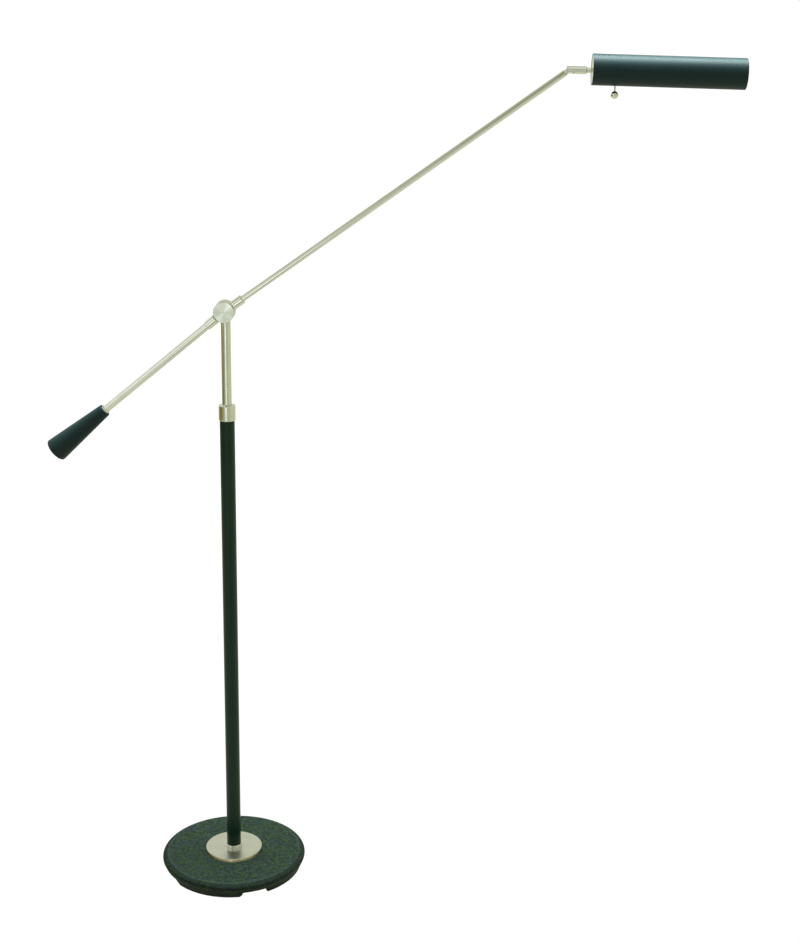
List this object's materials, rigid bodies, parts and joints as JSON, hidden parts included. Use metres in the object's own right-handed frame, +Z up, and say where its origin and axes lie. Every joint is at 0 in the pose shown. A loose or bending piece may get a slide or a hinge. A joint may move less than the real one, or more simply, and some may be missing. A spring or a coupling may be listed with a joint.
{
  "type": "counterbalance floor lamp",
  "caption": "Floor lamp with a round weighted base, straight pole, friction pivot, long tilting arm with counterweight, and a tubular swivelling shade.",
  "frame": {"origin": "on the floor, on the pole's axis, at the centre of the round base", "axes": "+Z up along the pole, +X towards the shade in the arms' vertical plane, -Y towards the viewer, on the side of the pole where the arms pass"},
  "size_m": [1.1155, 0.2558, 1.4354],
  "materials": {
    "base_black": "matte",
    "felt": "matte",
    "nickel": "satin",
    "pole_black": "satin",
    "weight_black": "satin",
    "shade_black": "satin",
    "zinc_steel": "satin",
    "brass_inner": "satin",
    "dark_plastic": "matte",
    "liner_white": "gloss",
    "socket_cream": "matte",
    "bulb_metal": "gloss",
    "bulb_white": "gloss"
  },
  "bodies": {
    "base": {"base_casting": "base_black", "floor_pads": "felt", "base_plate": "nickel", "foot_ring": "nickel", "pole_tube": "pole_black", "pole_foot_plug": "zinc_steel", "base_nipple": "zinc_steel", "base_washer": "zinc_steel", "base_nut": "zinc_steel", "cord_grommet": "dark_plastic", "pole_collar": "nickel", "post_stop_screw": "nickel", "swivel_bushing": "brass_inner", "pole_seat_plug": "zinc_steel", "thrust_washer": "dark_plastic"},
    "post": {"post_tube": "nickel", "post_nipple": "zinc_steel", "pivot_rear_disc": "nickel", "pivot_stop_pin": "zinc_steel", "friction_washer": "dark_plastic"},
    "arm": {"pivot_front_disc": "nickel", "pivot_bolt": "zinc_steel", "pivot_spring_washer": "zinc_steel", "long_ferrule": "nickel", "short_ferrule": "nickel", "long_arm_tube": "nickel", "short_arm_tube": "nickel", "counterweight": "weight_black", "weight_set_screw": "zinc_steel", "weight_ring": "nickel", "arm_tongue": "nickel"},
    "knuckle": {"knuckle_barrel": "nickel", "knuckle_pin": "nickel", "knuckle_grub_screw": "zinc_steel", "shade_neck": "nickel", "neck_spring_washer": "zinc_steel", "neck_nut": "zinc_steel"},
    "shade": {"shade_shell": "shade_black", "shade_inner_plate": "nickel", "shade_outer_plate": "shade_black", "reflector": "liner_white", "socket_bracket": "zinc_steel", "lamp_socket": "socket_cream", "bulb_cap": "bulb_metal", "bulb_glass": "bulb_white", "switch_housing": "dark_plastic"},
    "knob": {"switch_spindle": "nickel", "ball_knob": "nickel"}
  },
  "joints": [
    {"name": "post_swivel", "type": "hinge", "parent": "base", "child": "post", "pos_m": [0, 0, 0.82], "axis": [0, 0, 1], "range_deg": [-160, 160]},
    {"name": "arm_tilt", "type": "hinge", "parent": "post", "child": "arm", "pos_m": [0, -0.016, 1.0183], "axis": [0, -1, 0], "range_deg": [-70, 42]},
    {"name": "knuckle_tilt", "type": "hinge", "parent": "arm", "child": "knuckle", "pos_m": [0.54318, -0.016, 1.4102], "axis": [0, -1, 0], "range_deg": [-50, 120]},
    {"name": "shade_turn", "type": "hinge", "parent": "knuckle", "child": "shade", "pos_m": [0.57808, -0.016, 1.40974], "axis": [0.9999, 0, -0.0131], "range_deg": [-90, 90]},
    {"name": "switch_turn", "type": "hinge", "parent": "shade", "child": "knob", "pos_m": [0.61476, -0.016, 1.38526], "axis": [-0.0131, 0, -0.9999], "continuous": true}
  ]
}
